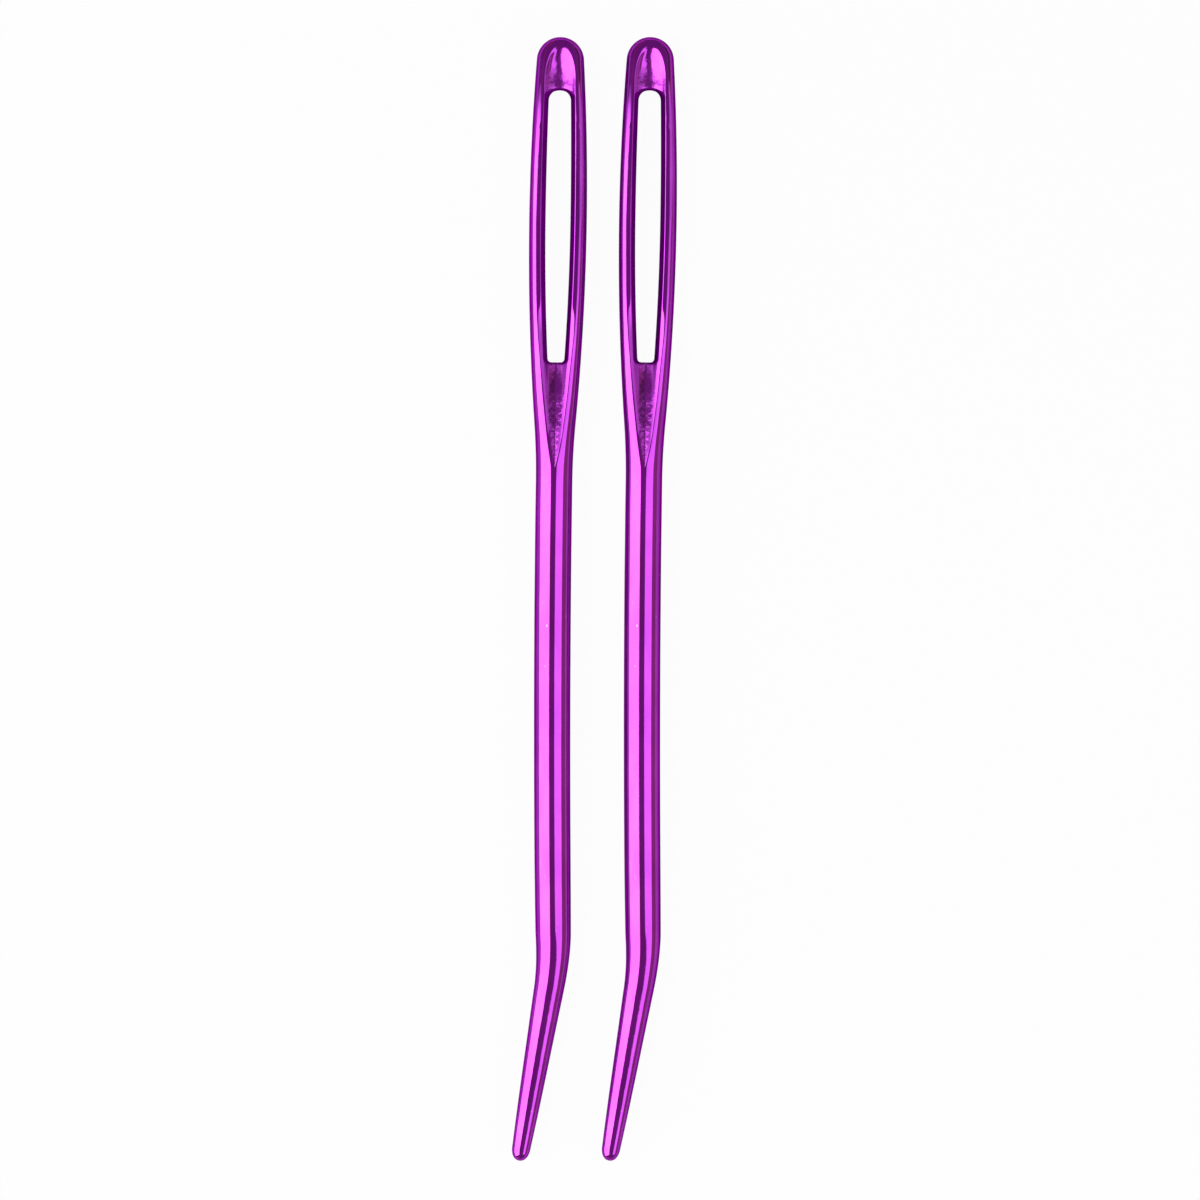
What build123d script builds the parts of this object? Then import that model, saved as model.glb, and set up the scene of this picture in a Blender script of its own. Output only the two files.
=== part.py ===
from build123d import *
import math
import os

# A pair of bent-tip yarn needles that lie flat, side by side. Sizes are in millimetres.
# +Y runs from the tips to the eyes, the tips bend to -X, and +Z points up from the surface.

# Shaft, a rod with a slight bow whose two ends drift to +X
shaft_diameter = 2.34
bow_radius = 1100.0
bow_above = 16.6  # from the bow's crest up to the neck
bow_below = 12.5  # from the bow's crest down to the bend
needle_spacing = 5.75  # from shaft to shaft

# Bend and tip
bend_radius = 18.5
bend_angle = 10.5
tip_root_diameter = 1.87
nose_diameter = 1.12
taper_length = 10.35
nose_length = 0.83
nose_fullness_share = 0.6

# Head, the end of the rod spread wide and pressed flat
head_width = 3.69
head_thickness = 1.9
neck_radius = 45.0
head_widest_share = 0.52  # of the eye's length, from its bottom up to the head's widest place
eye_to_end_centre = 1.9
neck_to_flats = 6.8  # where the pressed faces reach their full depth
press_radius = 90.0  # of the slope from the rod down to a pressed face

# Eye, a long slot whose walls open towards both faces
neck_to_eye = 7.6
eye_length = 17.4
eye_width = 1.59
eye_bottom_width = 1.05
eye_top_width = 1.40
eye_widest_share = 0.54  # of its length, from its bottom up
eye_crown = 0.3
eye_bottom_corner = 0.2
eye_top_corner = 0.35
eye_draft = 10.0
eye_rim_radius = 0.25

# Scoop above the eye, where the yarn lies against the head's end
scoop_radius = 1.2
scoop_depth = 0.62
scoop_straight = 0.6
scoop_nose = 2.8

# Gutter from the eye to the neck, where it runs out
gutter_radius = 0.66
gutter_lift = 0.05  # from the neck's surface up to the gutter's apex

overrun = 0.5  # how far a cutting shape passes beyond what it cuts
bend_steps = 3

shaft_radius = shaft_diameter / 2
flat_height = head_thickness / 2
neck_to_widest = neck_to_eye + head_widest_share * eye_length
neck_to_end_centre = neck_to_eye + eye_length + eye_to_end_centre
widest_to_end_centre = neck_to_end_centre - neck_to_widest
up = Vector(0, 0, 1)

# Centre line, from the bow's lower end to the neck, and from there down the bend
with BuildLine() as centre_line:
    bow_start = math.degrees(bow_below / bow_radius)
    bow_sweep = math.degrees((bow_above + bow_below) / bow_radius)
    bow = CenterArc((bow_radius, 0), bow_radius, 180 + bow_start, -bow_sweep)
    bend = JernArc(bow @ 0, -(bow % 0), bend_radius, -bend_angle)

tip_along = bend % 1
tip_plane = Plane(bend @ 1, x_dir=tip_along.cross(up), z_dir=up)
along = bow % 1
across = along.cross(up)
neck_plane = Plane(bow @ 1, x_dir=up, z_dir=along)
mid_plane = Plane(bow @ 1, x_dir=along, z_dir=across)
head_plane = Plane(bow @ 1, x_dir=across, z_dir=up)
eye_plane = Plane(bow @ 1 + along * neck_to_eye, x_dir=across, z_dir=up)

# The head's outline: a hollow neck arc, a full side arc and a round end, each tangent to the next
spread = head_width / 2 - shaft_radius
side_radius = (spread**2 + neck_to_widest**2) / (2 * spread) - neck_radius
neck_angle = math.degrees(math.asin(neck_to_widest / (neck_radius + side_radius)))
side_centre_offset = side_radius - head_width / 2
end_angle = math.degrees(math.atan(widest_to_end_centre / side_centre_offset))
end_radius = side_radius - math.hypot(side_centre_offset, widest_to_end_centre)
end_centre = head_plane.from_local_coords(Vector(0, neck_to_end_centre))


def neck_height(distance):
    """Height of the pressed face at a distance from the neck, short of the flats."""
    return flat_height + press_radius - math.sqrt(press_radius**2 - (neck_to_flats - distance) ** 2)


# Half of the head before it is pressed: a round edge as thick as the rod, with a web inside it
with BuildPart() as half_head:
    with BuildLine(head_plane) as core:
        neck_arc = JernArc((0, 0), (0, 1), neck_radius + shaft_radius, -neck_angle)
        side_arc = JernArc(neck_arc @ 1, neck_arc % 1, side_radius - shaft_radius, neck_angle + end_angle)
        end_arc = CenterArc((0, neck_to_end_centre), end_radius - shaft_radius, end_angle, 90 - end_angle)
        Line(end_arc @ 1, neck_arc @ 0)
    with BuildSketch(neck_plane):
        Circle(shaft_radius)
    sweep(path=[neck_arc, side_arc])

    outwards = across.rotate(Axis.Z, end_angle)
    with BuildSketch(Plane(end_centre, x_dir=outwards, z_dir=outwards.cross(up))):
        with Locations((end_radius - shaft_radius, 0)):
            Circle(shaft_radius)
        split(bisect_by=Plane.YZ)
    revolve(axis=Axis(end_centre, up), revolution_arc=90 - end_angle)

    with BuildSketch():
        make_face(core.edges())
    extrude(amount=flat_height, both=True)
    split(bisect_by=mid_plane)

with BuildPart() as needle:
    # Shaft
    with BuildSketch(Plane(bow @ 0, x_dir=up, z_dir=bow % 0)):
        Circle(shaft_radius)
    sweep(path=bow)

    # Bend, where the rod starts to taper
    for step in range(bend_steps + 1):
        share = step / bend_steps
        with BuildSketch(Plane(bend @ share, x_dir=up, z_dir=bend % share)):
            Circle(shaft_radius + (tip_root_diameter / 2 - shaft_radius) * share)
    loft(ruled=True)

    # Tapered tip with a blunt nose
    with BuildSketch(tip_plane):
        with BuildLine():
            Polyline(
                (0, taper_length + nose_length),
                (0, 0),
                (tip_root_diameter / 2, 0),
                (nose_diameter / 2, taper_length),
            )
            Bezier(
                (nose_diameter / 2, taper_length),
                (nose_diameter / 2, taper_length + nose_fullness_share * nose_length),
                (nose_fullness_share * nose_diameter / 2, taper_length + nose_length),
                (0, taper_length + nose_length),
            )
        make_face()
    revolve(axis=Axis(tip_plane.origin, tip_along))

    # Head
    add(half_head.part)
    mirror(half_head.part, about=mid_plane)

    # Pressed faces, which slope down from the neck and then lie flat
    press_angle = math.degrees(math.acos(1 - (shaft_radius - flat_height + overrun) / press_radius))
    for side in (1, -1):
        with BuildSketch(mid_plane):
            with BuildLine():
                slope = JernArc((neck_to_flats, side * flat_height), (-1, 0), press_radius, -side * press_angle)
                Polyline(
                    slope @ 1,
                    (neck_to_end_centre + end_radius + overrun, (slope @ 1).Y),
                    (neck_to_end_centre + end_radius + overrun, side * flat_height),
                    slope @ 0,
                )
            make_face()
        extrude(amount=head_width, both=True, mode=Mode.SUBTRACT)

    # Eye
    with BuildSketch(eye_plane) as eye_outline:
        widest = Vector(eye_width / 2, eye_widest_share * eye_length)
        shoulder = Vector(eye_top_width / 2, eye_length - eye_crown)
        bottom = Vector(eye_bottom_width / 2, 0)
        with BuildLine():
            TangentArc(widest, bottom, tangent=(0, -1))
            TangentArc(widest, shoulder, tangent=(0, 1))
            mirror(about=Plane.YZ)
            ThreePointArc(shoulder, (0, eye_length), (-shoulder.X, shoulder.Y))
            Line(bottom, -bottom)
        make_face()
        fillet(eye_outline.vertices().group_by(Axis.Y)[0], eye_bottom_corner)
        fillet(eye_outline.vertices().group_by(Axis.Y)[-1], eye_top_corner)
    extrude(amount=flat_height + overrun, both=True, taper=-eye_draft, mode=Mode.SUBTRACT)

    # Rounded rims where the eye meets both faces
    rims = needle.edges(Select.LAST).filter_by(
        lambda edge: min(abs(vertex.Z) for vertex in edge.vertices()) > flat_height / 2
    )
    fillet(rims, eye_rim_radius)

    for side in (1, -1):
        # Scoop: a round-nosed hollow whose axis floats above the face
        height = side * (flat_height + scoop_radius - scoop_depth)
        scoop_start = eye_plane.from_local_coords(Vector(0, eye_length, height))
        with BuildSketch(Plane(scoop_start, x_dir=along, z_dir=across)):
            with BuildLine():
                EllipticalCenterArc((scoop_straight, 0), scoop_nose, scoop_radius)
                Polyline(
                    (scoop_straight, scoop_radius),
                    (-overrun, scoop_radius),
                    (-overrun, 0),
                    (scoop_straight + scoop_nose, 0),
                )
            make_face()
        revolve(axis=Axis(scoop_start, along), mode=Mode.SUBTRACT)

        # Gutter: a cone whose axis lies along the face and leaves it just before the neck
        mouth = eye_plane.from_local_coords(Vector(0, 0, side * flat_height))
        apex = head_plane.from_local_coords(Vector(0, 0, side * (neck_height(0) + gutter_lift)))
        gutter_line = apex - mouth
        back = gutter_line.normalized() * overrun
        with Locations(Plane(mouth - back, z_dir=gutter_line).location):
            Cone(
                gutter_radius * (gutter_line.length + overrun) / gutter_line.length,
                0,
                gutter_line.length + overrun,
                align=(Align.CENTER, Align.CENTER, Align.MIN),
                mode=Mode.SUBTRACT,
            )

# Both needles lie on Z = 0, with the middle of the pair's outline on the Z axis.
# Each is parted at its neck into a shaft and a head that meet face to face.
box = needle.part.bounding_box()
left_x = -(box.min.X + box.max.X + needle_spacing) / 2
middle_y = -(box.min.Y + box.max.Y) / 2

os.makedirs("parts", exist_ok=True)
for needle_name, x in (("left_needle", left_x), ("right_needle", left_x + needle_spacing)):
    place = Location((x, middle_y, -box.min.Z))
    for piece_name, kept in (("head", Keep.TOP), ("shaft", Keep.BOTTOM)):
        with BuildPart() as piece:
            add(needle.part)
            split(bisect_by=neck_plane, keep=kept)
        placed_piece = piece.part.moved(place)
        placed_piece.label = f"{needle_name}_{piece_name}"
        export_step(placed_piece, f"parts/{placed_piece.label}.step")
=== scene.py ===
import math

import bmesh
import bpy
import numpy as np
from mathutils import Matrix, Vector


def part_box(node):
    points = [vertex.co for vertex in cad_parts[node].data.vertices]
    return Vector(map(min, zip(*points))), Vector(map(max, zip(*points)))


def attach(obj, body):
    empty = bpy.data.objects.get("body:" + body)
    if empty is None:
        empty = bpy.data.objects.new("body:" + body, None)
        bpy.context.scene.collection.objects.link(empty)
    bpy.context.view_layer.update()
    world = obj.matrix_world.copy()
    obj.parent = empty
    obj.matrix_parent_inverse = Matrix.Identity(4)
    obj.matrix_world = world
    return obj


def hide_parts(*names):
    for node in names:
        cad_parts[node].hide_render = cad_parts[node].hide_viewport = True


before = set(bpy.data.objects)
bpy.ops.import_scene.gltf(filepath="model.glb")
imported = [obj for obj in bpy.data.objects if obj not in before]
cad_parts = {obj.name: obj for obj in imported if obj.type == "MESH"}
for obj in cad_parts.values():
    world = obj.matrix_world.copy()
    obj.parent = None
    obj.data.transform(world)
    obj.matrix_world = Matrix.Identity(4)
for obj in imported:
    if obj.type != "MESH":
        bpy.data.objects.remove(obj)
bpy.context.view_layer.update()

mm = 0.001
micrometre = 1e-6

# Each needle is drawn straight, in millimetres, and bent afterwards. From the middle of the neck,
# v runs up the rod to the eye, u runs across it and z runs through its thickness.
needle = {
    "shaftRadius": 1.17,
    # the radius at each distance below the neck, from the shaft down to the nose
    "tipStations": (0, 6.3, 24, 27.1, 29.1, 30.1, 31.2, 32.3, 33.4, 35.5, 37.7, 39.9, 42.0, 42.84),
    "tipRadii": (
        1.17, 1.17, 1.16, 1.15, 1.135, 1.085, 1.02, 0.968, 0.932, 0.86, 0.79, 0.715, 0.63, 0.585,
    ),
    "tipSmoothing": 0.5,
    "noseLength": 0.83,
    "noseShoulder": 0.98,
    "noseFullness": 0.6,
    # the centre line: a long bow, then a short bend, then the straight taper
    "bowRadius": 1100.0,
    "bowAbove": 16.6,  # from the bow's crest up to the neck
    "bowBelow": 12.5,  # and down to the bend
    "bendRadius": 18.5,
    "bendAngle": 10.5,
    "taperLength": 10.35,
}
head = {
    "widest": 1.845,
    "neckRadius": 45.0,
    "neckToWidest": 16.65,
    "neckToEnd": 26.9,
    # the pressed face, which slopes down from the neck and falls away towards the end
    "flatHeight": 0.95,
    "neckToFlats": 7.4,
    "fallStart": 22.0,
    "fallRate": 0.006,
    # the crest between the round outer side and the hollows: how far it lies from the middle
    "crestStations": (0, 0.9, 1.7, 3.3, 5.2, 7.6, 9, 12, 16.7, 21, 24, 25.4, 26.9),
    "crestHalf": (0, 0.02, 0.19, 0.44, 0.68, 0.92, 1.05, 1.23, 1.315, 1.256, 1.147, 1.077, 0.97),
    "crestSmoothing": 0.3,
    "crestInsetAtTop": 0.42,
    "crestSoftness": 0.2,
    "crestSoftens": (0.3, 4.0),
    "crestSharpens": (8.5, 12.0),
    "crestSharpness": 0.85,
    "crestLeastSoftness": 0.02,
    # the outer side's section, where 2 is a plain oval and more is squarer
    "ovalFullness": 2.0,
    "sideFullness": 2.05,
    "sideFills": (0.0, 8.0),
}
eye = {
    "bottom": 7.6,
    "top": 25.0,
    "crown": 0.3,
    "halfBottom": 0.525,
    "halfWidest": 0.795,
    "halfTop": 0.70,
    "bottomToWidest": 9.4,
    "bottomCorner": 0.26,
    "topCorner": 0.36,
    "draft": 16.0,
    "rimSoftness": 0.17,
    "barWidth": 0.5,
    "barFall": 0.05,
}
gutter = {
    "top": 0.7,
    "length": 6.9,
    "mouth": 0.86,
    "curve": 0.75,
    # the floor is a vee with a narrow round bottom, and the walls beside it are steeper
    "veeSlope": 0.6,
    "veeRound": 0.04,
    "veeHalf": 0.42,
    "wallSlope": 1.28,
    "wallRound": 0.05,
    # near the neck it starts a little above the surface, so that it fades in
    "leastShare": 0.02,
    "lift": 0.02,
    "liftRate": 0.4,
    # past the eye's bottom it turns into the bars
    "turnsIntoBars": (0.2, 4.5),
}
scoop = {
    "start": 25.5,
    "reach": 2.27,
    "half": 0.97,
    "depth": 0.5,
    "fullness": 2.6,
    # short of the eye's top the bars turn into it
    "growsFromBars": (-2.6, -0.1),
    # its bottom lies to the left of the middle: the shift sets in with the depth below the rim,
    # with the distance past the eye and with the height above the needle's mid plane
    "aside": 0.15,
    "asideOverDepth": (0.0, 0.4),
    "asidePastEye": (0.1, 2.6),
    "asideOverHeight": (0.2, 0.4),
}


def softMin(first, second, softness):
    # the lower of two surfaces, with the corner between them rounded
    closeness = np.maximum(softness - np.abs(first - second), 0.0) / softness
    return np.minimum(first, second) - closeness * closeness * softness / 4


def ease(x, low, high):
    # 0 up to low, 1 from high on, and a soft step between them
    share = np.clip((x - low) / (high - low), 0.0, 1.0)
    return share * share * (3 - 2 * share)


def smoothLine(stations, values, width):
    # a run of straight pieces with its corners rounded off, in three passes
    step = 0.02
    margin = 3
    x = np.arange(min(stations) - margin, max(stations) + margin, step)
    y = np.interp(x, stations, values)
    count = int(width / step) | 1
    for turn in range(3):
        y = np.convolve(np.pad(y, count // 2, mode="edge"), np.ones(count) / count, "valid")
    return lambda distance: np.interp(distance, x, y)


# Outline of the head: hollow neck arc, full side arc and round end, each tangent to the next
spread = head["widest"] - needle["shaftRadius"]
sideRadius = (spread ** 2 + head["neckToWidest"] ** 2) / (2 * spread) - head["neckRadius"]
neckAngle = math.asin(head["neckToWidest"] / (head["neckRadius"] + sideRadius))
neckArcEnd = head["neckRadius"] * math.sin(neckAngle)
sideCentre = head["widest"] - sideRadius
endDrop = head["neckToEnd"] - head["neckToWidest"]
endAngle = math.atan(endDrop / -sideCentre)
endRadius = sideRadius - math.hypot(sideCentre, endDrop)
sideArcEnd = head["neckToEnd"] + endRadius * math.sin(endAngle)
crestHalf = smoothLine(head["crestStations"], head["crestHalf"], head["crestSmoothing"])


def halfWidth(v):
    neckFall = np.sqrt(head["neckRadius"] ** 2 - np.minimum(v, neckArcEnd) ** 2)
    neck = needle["shaftRadius"] + head["neckRadius"] - neckFall
    side = sideCentre + np.sqrt(sideRadius ** 2 - (v - head["neckToWidest"]) ** 2)
    end = np.sqrt(np.maximum(endRadius ** 2 - (v - head["neckToEnd"]) ** 2, 0.0))
    return np.where(v < neckArcEnd, neck, np.where(v < sideArcEnd, side, end))


def insideOutline(u, v):
    # distance from the outline into the metal
    neck = np.hypot(u - needle["shaftRadius"] - head["neckRadius"], v) - head["neckRadius"]
    side = sideRadius - np.hypot(u - sideCentre, v - head["neckToWidest"])
    end = endRadius - np.hypot(u, v - head["neckToEnd"])
    return np.where(v < neckArcEnd, neck, np.where(v < sideArcEnd, side, end))


def faceHeight(v):
    pressDepth = needle["shaftRadius"] - head["flatHeight"]
    pressed = needle["shaftRadius"] - pressDepth * ease(v, 0.0, head["neckToFlats"])
    return pressed - head["fallRate"] * np.maximum(v - head["fallStart"], 0.0) ** 2


def gutterSection(u):
    # height above the bottom of the gutter
    pastVee = u - gutter["veeHalf"]
    pastVee = (pastVee + np.sqrt(pastVee ** 2 + gutter["wallRound"] ** 2)) / 2
    vee = gutter["veeSlope"] * (np.sqrt(u ** 2 + gutter["veeRound"] ** 2) - gutter["veeRound"])
    return vee + (gutter["wallSlope"] - gutter["veeSlope"]) * pastVee


def outerSide(u, v):
    # the round side from the outline in to the crest, and how far in the crest lies
    inside = np.maximum(insideOutline(u, v), 0.0)
    endInset = endRadius - crestHalf(head["neckToEnd"])
    inset = np.where(v < head["neckToEnd"], halfWidth(v) - crestHalf(v), endInset)
    pastEnd = np.maximum(v - head["neckToEnd"], 0.0)
    turn = np.arctan2(pastEnd, u) / (math.pi / 2)
    inset = inset + (head["crestInsetAtTop"] - endInset) * ease(turn, 0.0, 1.0)
    extra = (head["sideFullness"] - head["ovalFullness"]) * ease(v, *head["sideFills"])
    fullness = head["ovalFullness"] + extra
    share = np.clip(1.0 - inside / inset, 0.0, 1.0)
    return faceHeight(v) * (1.0 - share ** fullness) ** (1.0 / fullness), inside - inset


def upperSurfaces(u, v):
    # heights outside and inside the crest, as if there were no eye
    height = faceHeight(v)
    outer, pastCrest = outerSide(u, v)

    # gutter: it grows from nothing near the neck to its mouth at the eye
    share = (v - gutter["top"]) / gutter["length"]
    half = gutter["mouth"] * np.maximum(share, gutter["leastShare"]) ** gutter["curve"]
    lift = gutter["lift"] + gutter["liftRate"] * np.maximum(gutter["leastShare"] - share, 0.0)
    gutterFloor = height - (gutterSection(half) - lift) + gutterSection(u)

    # bars: nearly flat from the crest to the eye
    bar = height - eye["barFall"] * np.clip(pastCrest / eye["barWidth"], 0.0, 1.0) ** 2

    # scoop: a bowl above the eye whose rim is half an oval
    upwards = np.maximum(v - scoop["start"], 0.0) / scoop["reach"]
    fromBottom = np.sqrt((u / scoop["half"]) ** 2 + upwards ** 2)
    bowl = height + scoop["depth"] * (fromBottom ** scoop["fullness"] - 1.0)

    pastGutter = ease(v - eye["bottom"], *gutter["turnsIntoBars"])
    inBowl = ease(v - eye["top"], *scoop["growsFromBars"])
    inner = gutterFloor * (1 - pastGutter) + (bar * (1 - inBowl) + bowl * inBowl) * pastGutter
    return outer, inner


def topHeight(u, v):
    outer, inner = upperSurfaces(u, v)
    softness = head["crestSoftness"] * ease(v, *head["crestSoftens"])
    softness = softness * (1 - head["crestSharpness"] * ease(v, *head["crestSharpens"]))
    return softMin(outer, inner, softness + head["crestLeastSoftness"])


# Lines and curves as runs of points
def lengthAlong(points):
    steps = np.linalg.norm(np.diff(points, axis=0), axis=1)
    return np.concatenate(((0.0,), np.cumsum(steps)))


def pointsAt(distances, along, points):
    # the points at these distances, where along holds each known point's own distance
    columns = range(points.shape[1])
    return np.column_stack([np.interp(distances, along, points[:, axis]) for axis in columns])


def arcThrough(start, end, tangent, count):
    # circular arc that leaves start along a tangent and ends at end
    chord = end - start
    normal = np.array((-tangent[1], tangent[0]))
    radius = chord.dot(chord) / (2 * chord.dot(normal))
    centre = start + normal * radius
    first = math.atan2(*(start - centre)[::-1])
    last = math.atan2(*(end - centre)[::-1])
    sweep = (last - first + math.pi) % (2 * math.pi) - math.pi
    angles = first + sweep * np.linspace(0, 1, count)
    return centre + abs(radius) * np.column_stack((np.cos(angles), np.sin(angles)))


def roundCorner(before, after, radius):
    # joins two runs that meet at a corner by a curve in the corner's place
    count = 24
    before = before[::-1]
    start = pointsAt(np.array([radius]), lengthAlong(before), before)
    end = pointsAt(np.array([radius]), lengthAlong(after), after)
    share = np.linspace(0, 1, count)[:, None]
    curve = (1 - share) ** 2 * start + 2 * share * (1 - share) * before[0] + share ** 2 * end
    keptBefore = before[lengthAlong(before) > radius][::-1]
    keptAfter = after[lengthAlong(after) > radius]
    return np.vstack((keptBefore, curve, keptAfter))


def bezier(first, second, third, fourth, share):
    rest = 1 - share
    ends = rest ** 3 * first + share ** 3 * fourth
    return ends + 3 * rest ** 2 * share * second + 3 * rest * share ** 2 * third


def eyeOutline():
    # right half of the eye at its narrowest depth, from bottom middle to top middle
    bottom = np.array((eye["halfBottom"], eye["bottom"]))
    widest = np.array((eye["halfWidest"], eye["bottom"] + eye["bottomToWidest"]))
    shoulder = np.array((eye["halfTop"], eye["top"] - eye["crown"]))
    top = np.array((0.0, eye["top"]))
    sideCount = 200
    endCount = 60
    floor = np.column_stack((np.linspace(0, bottom[0], endCount), np.full(endCount, bottom[1])))
    lowerSide = arcThrough(widest, bottom, (0, -1), sideCount)[::-1]
    upperSide = arcThrough(widest, shoulder, (0, 1), sideCount)[1:]
    crown = arcThrough(top, shoulder, (1, 0), endCount)[::-1]
    side = np.vstack((lowerSide, upperSide))
    return roundCorner(roundCorner(floor, side, eye["bottomCorner"]), crown, eye["topCorner"])


def outerOutline():
    # right half of the head's outline, from below the eye to the top: its side and its end
    belowEye = 7.1
    sideCount = 500
    endCount = 120
    heights = np.linspace(belowEye, sideArcEnd, sideCount)
    side = np.column_stack((halfWidth(heights), heights))
    angles = np.linspace(endAngle, math.pi / 2, endCount)[1:]
    endHeights = head["neckToEnd"] + endRadius * np.sin(angles)
    return side, np.column_stack((endRadius * np.cos(angles), endHeights))


# How many faces each stretch of the mesh takes
meshing = {
    "acrossWall": 14,  # from the eye's narrowest depth to its rim
    "eyeToOutline": 46,  # the wall, the bar and the outer side
    "halfFloor": 16,  # along half of the eye's bottom
    "ringRows": (14, 90, 16, 64),  # round the eye
    "ringLevels": (8.6, 22.0, 24.0),  # heights where these change their spacing
    "neckRows": 90,
    "shaftRows": 52,
    "tipRows": 89,
    "noseRows": 39,
    "joinWithin": 0.0004,  # the distance within which two points become one
}


def sectionPoints(start, end, normal, count, openEnd):
    # one line of the surface, from the eye's wall at start to end, with more points where it turns
    samples = 900
    turnWeight = 0.22
    share = np.linspace(0, 1, samples)
    share = 1 - np.cos(math.pi * share / 2) if openEnd else (1 - np.cos(math.pi * share)) / 2
    line = end - start
    plan = start + share[:, None] * line
    wall = share * max(line.dot(normal), 1e-6) / math.tan(math.radians(eye["draft"]))
    rimSoftness = np.minimum(eye["rimSoftness"], wall + 1e-9)  # above 0, as softMin divides by it
    z = softMin(wall, topHeight(plan[:, 0], plan[:, 1]), rimSoftness)
    z[0] = 0.0
    if not openEnd:
        z[-1] = 0.0
    points = np.column_stack((plan, z))
    steps = np.diff(points, axis=0)
    climb = np.unwrap(np.arctan2(steps[:, 2], np.linalg.norm(steps[:, :2], axis=1)))
    measures = np.linalg.norm(steps, axis=1) + turnWeight * np.abs(np.gradient(climb))
    measure = np.concatenate(((0.0,), np.cumsum(measures)))
    return pointsAt(np.linspace(0, measure[-1], count + 1), measure, points)


def spacedKnots(knots):
    # distances from knot to knot, with the rows of each stretch evenly spaced
    runs = []
    for index, rows in enumerate(meshing["ringRows"]):
        runs.append(np.linspace(knots[index], knots[index + 1], rows + 1)[(index > 0):])
    return np.concatenate(runs)


def eyeGrids():
    # two grids: round the eye from its bottom corner's diagonal to the top, and the wall below it
    inner = eyeOutline()
    innerLength = lengthAlong(inner)
    tangents = np.gradient(inner, axis=0)
    tangents /= np.linalg.norm(tangents, axis=1)[:, None]
    outward = np.column_stack((tangents[:, 1], -tangents[:, 0]))
    lean = np.arctan2(outward[:, 0], -outward[:, 1])
    floorAndCorner = 120
    diagonal = np.interp(math.pi / 4, lean[:floorAndCorner], innerLength[:floorAndCorner])

    side, end = outerOutline()
    outer = np.vstack((side, end))
    outerLength = lengthAlong(outer)
    knotsIn = [diagonal]
    knotsOut = [0.0]
    pastCorner = 0.3
    for level in meshing["ringLevels"]:
        knotsIn.append(innerLength[np.argmax((inner[:, 1] >= level) & (inner[:, 0] > pastCorner))])
        knotsOut.append(np.interp(level, side[:, 1], outerLength[:len(side)]))
    alongInner = spacedKnots(knotsIn + [innerLength[-1]])
    alongOuter = spacedKnots(knotsOut + [outerLength[-1]])
    starts = pointsAt(alongInner, innerLength, inner)
    ends = pointsAt(alongOuter, outerLength, outer)
    normals = pointsAt(alongInner, innerLength, outward)
    normals /= np.linalg.norm(normals, axis=1)[:, None]
    ring = np.array([
        sectionPoints(start, stop, normal, meshing["eyeToOutline"], False)
        for start, stop, normal in zip(starts, ends, normals)
    ])
    ring[-1, :, 0] = 0.0

    # the wall at the eye's bottom, which ends at the rim and swings round to the ring's first line
    columns = meshing["acrossWall"]
    floorRows = meshing["halfFloor"]
    rim = np.linalg.norm(ring[0, columns, :2] - starts[0])
    alongFloor = np.linspace(0, diagonal, floorRows + 1)
    starts = pointsAt(alongFloor, innerLength, inner)
    normals = pointsAt(alongFloor, innerLength, outward)
    normals[0] = (0, -1)
    lastWay = (ring[0, columns, :2] - starts[-1]) / rim
    wall = []
    for index, (start, normal) in enumerate(zip(starts, normals)):
        share = ease(index / floorRows, 0.0, 1.0)
        way = normal * (1 - share) + lastWay * share
        way /= np.linalg.norm(way)
        wall.append(sectionPoints(start, start + way * rim, normal, columns, True))
    wall = np.array(wall)
    wall[0, :, 0] = 0.0
    wall[-1] = ring[0, :columns + 1]
    return ring, wall


def neckGrid(last):
    # from the round section at the neck up to the line of points that the eye's grids start from
    rows = meshing["neckRows"]
    spreadBy = 0.9
    angle = np.linspace(0, math.pi / 2, len(last))
    lastShare = last[:, 0] / halfWidth(last[:, 1])
    grid = []
    for row in range(rows + 1):
        share = ease(row / rows, 0.0, spreadBy)
        v = row / rows * last[:, 1]
        u = (np.sin(angle) * (1 - share) + lastShare * share) * halfWidth(v)
        z = topHeight(u, v)
        z[-1] = 0.0
        grid.append(np.column_stack((u, v, z)))
    grid[0] = np.column_stack((np.sin(angle), 0 * angle, np.cos(angle))) * needle["shaftRadius"]
    grid[-1] = last
    return np.array(grid)


def rodGrid(count):
    # shaft, bend and tip, as quarter rings
    radiusAt = smoothLine(needle["tipStations"], needle["tipRadii"], needle["tipSmoothing"])
    bendStart = needle["bowAbove"] + needle["bowBelow"]
    bendLength = math.radians(needle["bendAngle"]) * needle["bendRadius"]
    taperEnd = bendStart + bendLength + needle["taperLength"]
    finerFrom = 26
    shaftRun = np.linspace(0, finerFrom, meshing["shaftRows"] + 1)
    tipRun = np.linspace(finerFrom, taperEnd, meshing["tipRows"] + 1)[1:]
    down = np.concatenate((shaftRun, tipRun))
    radii = radiusAt(down)
    share = np.linspace(0, 1, meshing["noseRows"] + 1)[1:]
    last = radii[-1]
    shoulder = needle["noseShoulder"] * last
    noseRadii = bezier(last, shoulder, needle["noseFullness"] * last, 0.0, share)
    noseRun = needle["noseLength"] * bezier(0.0, needle["noseFullness"], 1.0, 1.0, share)
    down = np.concatenate((down, taperEnd + noseRun))
    radii = np.concatenate((radii, noseRadii))
    angle = np.linspace(0, math.pi / 2, count)
    return np.array([
        np.column_stack((np.sin(angle) * radius, np.full(count, -distance), np.cos(angle) * radius))
        for distance, radius in zip(down, radii)
    ])


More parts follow.
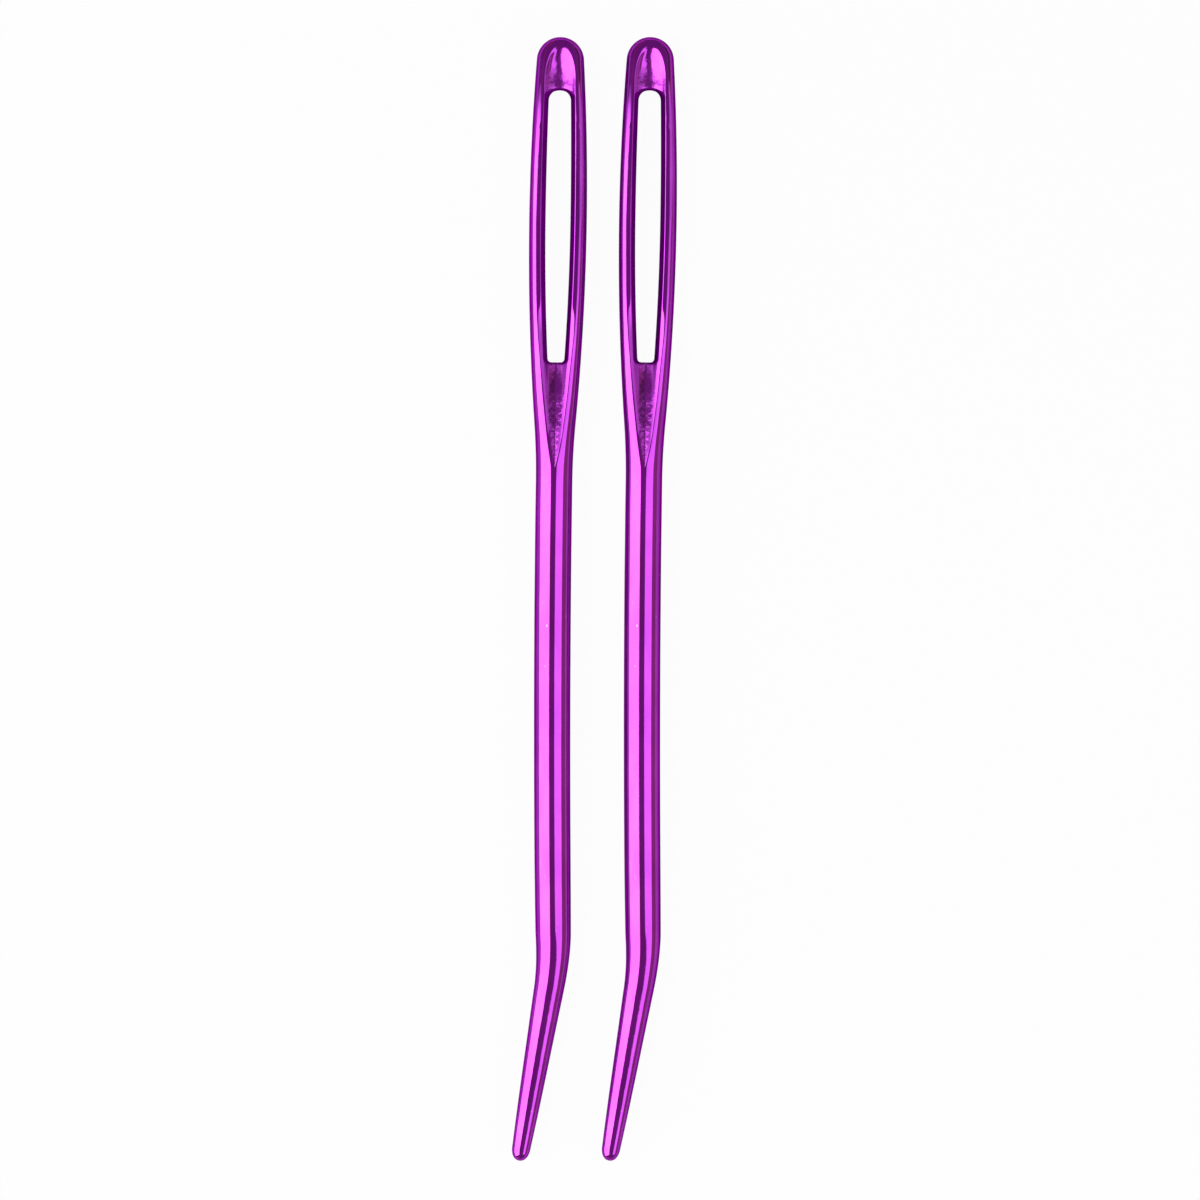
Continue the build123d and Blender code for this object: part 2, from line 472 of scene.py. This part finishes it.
def quarterNeedle():
    # vertices and faces of the quarter of the straight needle with u and z above 0
    ring, wall = eyeGrids()
    last = np.vstack((wall[:, -1], ring[0, meshing["acrossWall"] + 1:]))
    vertices = []
    faces = []
    for grid in (ring, wall, neckGrid(last), rodGrid(len(last))):
        first = len(vertices)
        rows, columns = grid.shape[:2]
        vertices.extend(grid.reshape(-1, 3))
        for row in range(rows - 1):
            for column in range(columns - 1):
                corner = first + row * columns + column
                faces.append((corner, corner + 1, corner + columns + 1, corner + columns))
    return np.array(vertices), faces


def moveScoopAside(straight):
    # shifts the scoop's bottom, while its rim and the head's end stay
    outer, inner = upperSurfaces(np.abs(straight[:, 0]), np.maximum(straight[:, 1], 0.0))
    share = ease(outer - inner, *scoop["asideOverDepth"])
    share = share * ease(straight[:, 1] - eye["top"], *scoop["asidePastEye"])
    share = share * ease(np.abs(straight[:, 2]), *scoop["asideOverHeight"])
    straight[:, 0] -= scoop["aside"] * share


def bendRod(points):
    # lays the straight needle along the bowed and bent centre line: u and v turn into x and y
    step = 0.005
    pastTip = -46
    pastHead = 30
    v = np.arange(pastTip, pastHead, step)
    bowLength = needle["bowAbove"] + needle["bowBelow"]
    lean = (needle["bowAbove"] + np.clip(v, -bowLength, 0)) / needle["bowRadius"]
    bend = (-v - bowLength) / needle["bendRadius"]
    lean = lean + np.clip(bend, 0, math.radians(needle["bendAngle"]))
    x = np.concatenate(((0.0,), np.cumsum((np.sin(lean[1:]) + np.sin(lean[:-1])) / 2 * step)))
    y = np.concatenate(((0.0,), np.cumsum((np.cos(lean[1:]) + np.cos(lean[:-1])) / 2 * step)))
    x -= np.interp(0.0, v, x)
    y -= np.interp(0.0, v, y)
    across, along, z = points.T
    angle = np.interp(along, v, lean)
    centreX = np.interp(along, v, x)
    centreY = np.interp(along, v, y)
    return np.column_stack((
        centreX + across * np.cos(angle), centreY - across * np.sin(angle), z,
    ))


# Where the tool marks of the hollows and the waves of the tip lie, in distances from the neck
finishZones = {
    "marksStart": (0.8, 1.6),
    "marksFade": (4.8, 6.4),
    "marksFadeBy": 0.85,
    "marksEnd": (8.0, 10.0),
    "scoopMarksStart": (24.6, 25.4),
    # the marks fade over these depths, at the crest and down the eye's wall
    "crestMargin": 0.08,
    "wallMargin": 0.1,
    "tipStart": (29.0, 34.0),
}


def hollowMask(u, v, z):
    # 1 on the floor of the gutter and of the scoop, 0 elsewhere
    outer, inner = upperSurfaces(u, v)
    zone = ease(v, *finishZones["marksStart"]) * (1 - ease(v, *finishZones["marksEnd"]))
    zone = zone * (1 - finishZones["marksFadeBy"] * ease(v, *finishZones["marksFade"]))
    zone = zone + ease(v, *finishZones["scoopMarksStart"])
    insideCrest = np.clip((outer - inner) / finishZones["crestMargin"], 0.0, 1.0)
    clearOfWall = np.clip(1 - (inner - z) / finishZones["wallMargin"], 0.0, 1.0)
    return zone * insideCrest * clearOfWall


def needleMesh():
    # the whole needle, from four mirrored quarters
    vertices, faces = quarterNeedle()
    allVertices = []
    allFaces = []
    for sideways in (1, -1):
        for upwards in (1, -1):
            first = len(allVertices)
            allVertices.extend(vertices * (sideways, 1, upwards))
            order = 1 if sideways * upwards > 0 else -1
            allFaces.extend(tuple(first + index for index in face[::order]) for face in faces)
    straight = np.array(allVertices)
    moveScoopAside(straight)
    mesh = bpy.data.meshes.new("needle")
    mesh.from_pydata([tuple(point) for point in bendRod(straight)], [], allFaces)
    across, along, height = straight.T
    masks = {
        "hollow": hollowMask(np.abs(across), np.maximum(along, 0.0), np.abs(height)),
        "tip": ease(-along, *finishZones["tipStart"]),
    }
    for name, values in masks.items():
        mesh.attributes.new(name, "FLOAT", "POINT").data.foreach_set("value", values)
    # the grids and quarters share their edges: join them and turn every face outwards
    shape = bmesh.new()
    shape.from_mesh(mesh)
    bmesh.ops.remove_doubles(shape, verts=shape.verts, dist=meshing["joinWithin"])
    bmesh.ops.recalc_face_normals(shape, faces=shape.faces)
    openEdges = sum(len(edge.link_faces) != 2 for edge in shape.edges)
    shape.to_mesh(mesh)
    shape.free()
    print("needle mesh:", len(mesh.vertices), "vertices,", openEdges, "open edges")
    return mesh


# Purple anodised aluminium
anodised = {
    "dyeDeep": (0.37, 0.042, 0.47, 1.0),
    "dyeLight": (0.43, 0.056, 0.53, 1.0),
    "rubbed": (0.58, 0.17, 0.64, 1.0),
    "edge": (0.50, 0.12, 0.55, 1.0),
    # each texture: its grain per millimetre across, along and through the needle, and its detail
    "dyeGrain": ((0.7, 0.25, 0.7), 3.0),
    "speckGrain": ((3.3, 2.4, 3.3), 4.0),
    # and for those that stand up, how many micrometres they do
    "polish": ((6.0, 0.22, 6.0), 3.0, 0.5),
    "dents": ((0.9, 0.5, 0.9), 2.0, 3.0),
    "tipWaves": ((1.9, 0.8, 1.9), 2.0, 7.0),
    "toolMarks": ((4.0, 3.0, 4.0), 3.0, 22.0),
    # which part of a texture's range counts
    "dyeRange": (0.35, 0.65),
    "speckRange": (0.71, 0.75),
    "dentRange": (0.3, 0.7),
    "roughness": (0.05, 0.095),
    # what specks and hollows add to it
    "speckRoughness": 0.15,
    "hollowRoughness": 0.1,
}


def anodisedPurple():
    material = bpy.data.materials.new("purpleAnodised")
    material.use_nodes = True
    nodes = material.node_tree.nodes
    links = material.node_tree.links
    shader = nodes["Principled BSDF"]
    place = nodes.new("ShaderNodeTexCoord")

    def noise(grain, detail):
        scaled = nodes.new("ShaderNodeVectorMath")
        scaled.operation = "MULTIPLY"
        scaled.inputs[1].default_value = [each / mm for each in grain]
        links.new(place.outputs["Object"], scaled.inputs[0])
        texture = nodes.new("ShaderNodeTexNoise")
        texture.inputs["Scale"].default_value = 1.0
        texture.inputs["Detail"].default_value = detail
        links.new(scaled.outputs[0], texture.inputs["Vector"])
        return texture.outputs["Fac"]

    def calculate(operation, first, second):
        node = nodes.new("ShaderNodeMath")
        node.operation = operation
        for socket, value in zip(node.inputs, (first, second)):
            if isinstance(value, float):
                socket.default_value = value
            else:
                links.new(value, socket)
        return node.outputs[0]

    def mask(name):
        node = nodes.new("ShaderNodeAttribute")
        node.attribute_name = name
        return node.outputs["Fac"]

    def between(value, limits, results):
        node = nodes.new("ShaderNodeMapRange")
        names = ("From Min", "From Max", "To Min", "To Max")
        for name, number in zip(names, (*limits, *results)):
            node.inputs[name].default_value = number
        links.new(value, node.inputs["Value"])
        return node.outputs["Result"]

    def blend(share, first, second):
        node = nodes.new("ShaderNodeMix")
        node.data_type = "RGBA"
        links.new(share, node.inputs["Factor"])
        for name, value in (("A", first), ("B", second)):
            if isinstance(value, tuple):
                node.inputs[name].default_value = value
            else:
                links.new(value, node.inputs[name])
        return node.outputs["Result"]

    # dye with rubbed specks
    dyeShare = between(noise(*anodised["dyeGrain"]), anodised["dyeRange"], (0.0, 1.0))
    dye = blend(dyeShare, anodised["dyeDeep"], anodised["dyeLight"])
    specks = between(noise(*anodised["speckGrain"]), anodised["speckRange"], (0.0, 1.0))
    links.new(blend(specks, dye, anodised["rubbed"]), shader.inputs["Base Color"])
    shader.inputs["Specular Tint"].default_value = anodised["edge"]
    shader.inputs["Metallic"].default_value = 1.0

    # roughness that varies with the dents, and more of it on specks and in the hollows
    dents = noise(*anodised["dents"][:2])
    rough = between(dents, anodised["dentRange"], anodised["roughness"])
    for share, extra in ((mask("hollow"), "hollowRoughness"), (specks, "speckRoughness")):
        rough = calculate("ADD", rough, calculate("MULTIPLY", share, anodised[extra]))
    links.new(rough, shader.inputs["Roughness"])

    # polish lines and dents all over, waves on the tip and tool marks in the hollows
    polish = noise(*anodised["polish"][:2])
    raisedDents = calculate("MULTIPLY", dents, anodised["dents"][2])
    height = calculate("ADD", calculate("MULTIPLY", polish, anodised["polish"][2]), raisedDents)
    for name, where in (("tipWaves", "tip"), ("toolMarks", "hollow")):
        grain, detail, micrometres = anodised[name]
        texture = calculate("MULTIPLY", noise(grain, detail), mask(where))
        height = calculate("ADD", height, calculate("MULTIPLY", texture, micrometres))
    bump = nodes.new("ShaderNodeBump")
    bump.inputs["Distance"].default_value = micrometre
    links.new(height, bump.inputs["Height"])
    links.new(bump.outputs["Normal"], shader.inputs["Normal"])
    return material


# Both needles, each in the middle of the box of its own shaft and head
purple = anodisedPurple()
baseMesh = needleMesh()
for side in ("left", "right"):
    piece = bpy.data.objects.new(side + "Needle", baseMesh.copy())
    bpy.context.collection.objects.link(piece)
    corners = [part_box(side + "_needle_" + part) for part in ("head", "shaft")]
    low = [min(box[0][axis] for box in corners) for axis in range(3)]
    high = [max(box[1][axis] for box in corners) for axis in range(3)]
    piece.location = (np.array(low) + np.array(high)) / 2
    points = np.empty(len(piece.data.vertices) * 3)
    piece.data.vertices.foreach_get("co", points)
    points = points.reshape(-1, 3) * mm
    points -= (points.min(axis=0) + points.max(axis=0)) / 2
    piece.data.vertices.foreach_set("co", points.reshape(-1))
    piece.data.polygons.foreach_set("use_smooth", np.ones(len(piece.data.polygons), dtype=bool))
    piece.data.update()
    piece.data.materials.append(purple)
    piece.visible_glossy = False  # the needles don't mirror each other
    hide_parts(side + "_needle_shaft", side + "_needle_head")
    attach(piece, side + "_needle")
    size = (points.max(axis=0) - points.min(axis=0)) / mm
    print(side, "needle placed,", " x ".join(f"{length:.2f}" for length in size), "mm")


# Studio: panels that the metal reflects. Each has the angle that it faces the needles from, its
# outline as angles from straight above towards the right and distances towards the heads, its
# brightness, and between which distances it fades and to how much.
studio = {
    "distance": 0.5,
    "panels": {
        "softboxLeft": {
            "middle": -55.35,
            "outline": (
                (-90, -0.5), (-20.7, -0.5), (-20.7, 0.085), (-8, 0.1), (-8, 0.15), (-90, 0.15),
            ),
            "brightness": 4.6,
            "fade": (0.085, 0.145, 0.04),
        },
        "softboxRight": {
            "middle": 36.9,
            "outline": (
                (13.8, -0.065), (33, -0.16), (33, -0.5), (64, -0.5), (60, -0.1), (60, 0.05),
                (84, 0.085), (84, 0.135), (36, 0.135), (33, 0.09), (13.8, 0.07),
            ),
            "brightness": 2.05,
            "fade": (0.02, 0.065, 0.5),
        },
        "darkCard": {
            "middle": 60.0,
            "outline": ((45, 0.136), (76, 0.136), (76, 0.5), (45, 0.5)),
            "brightness": 0.12,
            "fade": (0.1, 0.5, 1.0),
        },
    },
    # the dim room between and beyond the panels: its colour at each share from left to right
    "room": (
        (0.0, (0.28, 0.13, 0.28)),
        (0.29, (0.28, 0.13, 0.28)),
        (0.325, (0.60, 0.20, 0.18)),
        (0.345, (0.60, 0.20, 0.18)),
        (0.375, (0.28, 0.13, 0.28)),
        (0.675, (0.28, 0.13, 0.28)),
        (0.925, (0.46, 0.30, 0.30)),
    ),
}


def standPanel(name, settings):
    # a flat glowing panel that faces the needles
    distance = studio["distance"]
    middle = math.radians(settings["middle"])
    points = []
    for angle, y in settings["outline"]:
        offset = distance * math.tan(math.radians(angle) - middle)
        x = distance * math.sin(middle) + offset * math.cos(middle)
        z = distance * math.cos(middle) - offset * math.sin(middle)
        points.append((x, y, z))
    mesh = bpy.data.meshes.new(name)
    mesh.from_pydata(points, [], [tuple(range(len(points)))])
    panel = bpy.data.objects.new(name, mesh)
    panel.visible_camera = False
    bpy.context.collection.objects.link(panel)
    material = bpy.data.materials.new(name)
    material.use_nodes = True
    nodes = material.node_tree.nodes
    links = material.node_tree.links
    nodes.remove(nodes["Principled BSDF"])
    place = nodes.new("ShaderNodeTexCoord")
    split = nodes.new("ShaderNodeSeparateXYZ")
    fade = nodes.new("ShaderNodeMapRange")
    start, end, rest = settings["fade"]
    names = ("From Min", "From Max", "To Min", "To Max")
    for socket, number in zip(names, (start, end, 1.0, rest)):
        fade.inputs[socket].default_value = number
    strength = nodes.new("ShaderNodeMath")
    strength.operation = "MULTIPLY"
    strength.inputs[1].default_value = settings["brightness"]
    glow = nodes.new("ShaderNodeEmission")
    links.new(place.outputs["Object"], split.inputs[0])
    links.new(split.outputs["Y"], fade.inputs["Value"])
    links.new(fade.outputs["Result"], strength.inputs[0])
    links.new(strength.outputs[0], glow.inputs["Strength"])
    links.new(glow.outputs[0], nodes["Material Output"].inputs[0])
    mesh.materials.append(material)


def dimRoom():
    # white to the camera, and the dim room to everything else
    world = bpy.data.worlds.new("studio")
    bpy.context.scene.world = world
    world.use_nodes = True
    nodes = world.node_tree.nodes
    links = world.node_tree.links
    place = nodes.new("ShaderNodeTexCoord")
    split = nodes.new("ShaderNodeSeparateXYZ")
    share = nodes.new("ShaderNodeMapRange")
    share.inputs["From Min"].default_value = -1.0
    ramp = nodes.new("ShaderNodeValToRGB")
    ramp.color_ramp.elements[1].position = 1.0
    ramp.color_ramp.elements[0].color = (*studio["room"][0][1], 1)
    ramp.color_ramp.elements[1].color = (*studio["room"][-1][1], 1)
    for position, colour in studio["room"][1:]:
        ramp.color_ramp.elements.new(position).color = (*colour, 1)
    path = nodes.new("ShaderNodeLightPath")
    mix = nodes.new("ShaderNodeMix")
    mix.data_type = "RGBA"
    mix.inputs["B"].default_value = (1, 1, 1, 1)
    background = nodes["Background"]
    background.inputs["Strength"].default_value = 1.0
    links.new(place.outputs["Generated"], split.inputs[0])
    links.new(split.outputs["X"], share.inputs["Value"])
    links.new(share.outputs["Result"], ramp.inputs[0])
    links.new(ramp.outputs["Color"], mix.inputs["A"])
    links.new(path.outputs["Is Camera Ray"], mix.inputs["Factor"])
    links.new(mix.outputs["Result"], background.inputs["Color"])


# Pale table: nearly white to the camera, with a little of its own shading that keeps the shadows
tabletop = {
    "half": 1.5,
    "grey": 0.62,
    "white": 0.96,
}


def layTable():
    half = tabletop["half"]
    corners = [(-half, -half, 0), (half, -half, 0), (half, half, 0), (-half, half, 0)]
    mesh = bpy.data.meshes.new("table")
    mesh.from_pydata(corners, [], [(0, 1, 2, 3)])
    table = bpy.data.objects.new("table", mesh)
    bpy.context.collection.objects.link(table)
    material = bpy.data.materials.new("paleTable")
    material.use_nodes = True
    nodes = material.node_tree.nodes
    links = material.node_tree.links
    shader = nodes["Principled BSDF"]
    shader.inputs["Base Color"].default_value = (tabletop["grey"],) * 3 + (1,)
    shader.inputs["Roughness"].default_value = 1.0
    shader.inputs["Specular IOR Level"].default_value = 0.0
    white = nodes.new("ShaderNodeEmission")
    path = nodes.new("ShaderNodeLightPath")
    share = nodes.new("ShaderNodeMath")
    share.operation = "MULTIPLY"
    share.inputs[1].default_value = tabletop["white"]
    mix = nodes.new("ShaderNodeMixShader")
    links.new(path.outputs["Is Camera Ray"], share.inputs[0])
    links.new(share.outputs[0], mix.inputs[0])
    links.new(shader.outputs[0], mix.inputs[1])
    links.new(white.outputs[0], mix.inputs[2])
    links.new(mix.outputs[0], nodes["Material Output"].inputs[0])
    mesh.materials.append(material)


# Camera, straight above
view = {
    "lens": 150.0,
    "sensor": 36.0,
    "nearest": 0.01,
    "frameWidth": 0.0768,
    "centre": (0.000355, -0.000067),
    "focusHeight": 0.00117,
}


def hangCamera():
    lens = bpy.data.cameras.new("camera")
    lens.lens = view["lens"]
    lens.sensor_width = view["sensor"]
    lens.clip_start = view["nearest"]
    camera = bpy.data.objects.new("camera", lens)
    height = view["focusHeight"] + view["frameWidth"] * view["lens"] / view["sensor"]
    camera.location = (*view["centre"], height)
    bpy.context.collection.objects.link(camera)
    bpy.context.scene.camera = camera
    bpy.context.scene.view_settings.view_transform = "Standard"


for name, settings in studio["panels"].items():
    standPanel(name, settings)
dimRoom()
layTable()
hangCamera()
print("studio and camera set")
